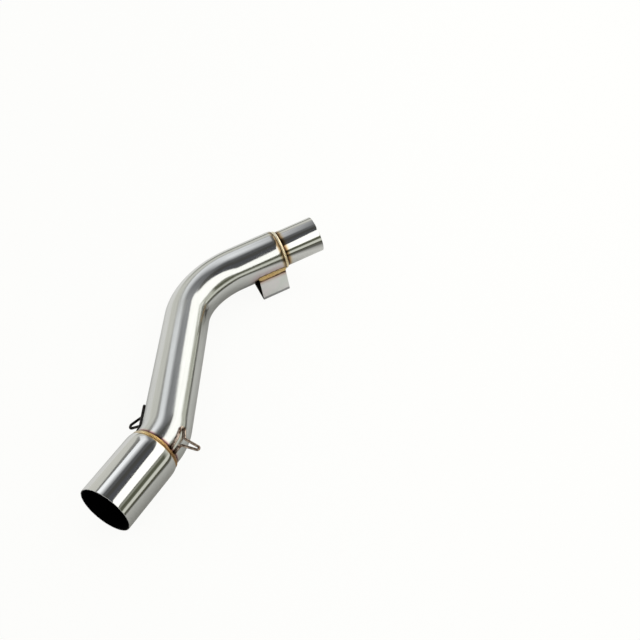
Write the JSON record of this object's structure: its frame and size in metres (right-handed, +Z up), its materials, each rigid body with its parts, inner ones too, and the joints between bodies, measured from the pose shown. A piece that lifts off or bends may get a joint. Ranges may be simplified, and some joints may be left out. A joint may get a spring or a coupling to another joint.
{
  "type": "exhaust mid pipe",
  "caption": "Bent stainless exhaust mid pipe with a wide outlet sleeve, a narrow inlet spigot, wire spring hooks and a folded hanger bracket; links a header pipe to a muffler.",
  "frame": {"origin": "on the floor, under the middle of the part's bounding box as it lies", "axes": "+Z up from the floor that the pipe lies on; +Y along the outlet sleeve seen from above, from its mouth towards the inlet, which is also the longest extent; +X to the right of +Y, the side that the inlet spigot turns to"},
  "size_m": [0.147, 0.3948, 0.0691],
  "materials": {
    "brushed_stainless": "fine brushed stainless steel, soft bands of light",
    "polished_stainless": "bright polished stainless steel, sharp bands of light",
    "satin_sheet": "satin stainless sheet, slightly reddened beside the weld",
    "heat_tinted_weld": "TIG weld bead, straw gold to brown with dark edges",
    "dark_spring_wire": "dark bent steel wire with bright highlights"
  },
  "bodies": {
    "root": {"main_tube": "brushed_stainless", "outlet_sleeve": "polished_stainless", "inlet_spigot": "polished_stainless", "sleeve_weld_bead": "heat_tinted_weld", "spigot_weld_bead": "heat_tinted_weld", "hanger_bracket": "satin_sheet", "bracket_weld_front": "heat_tinted_weld", "bracket_weld_back": "heat_tinted_weld", "spring_hook_right": "dark_spring_wire", "spring_hook_left": "dark_spring_wire"}
  },
  "joints": []
}
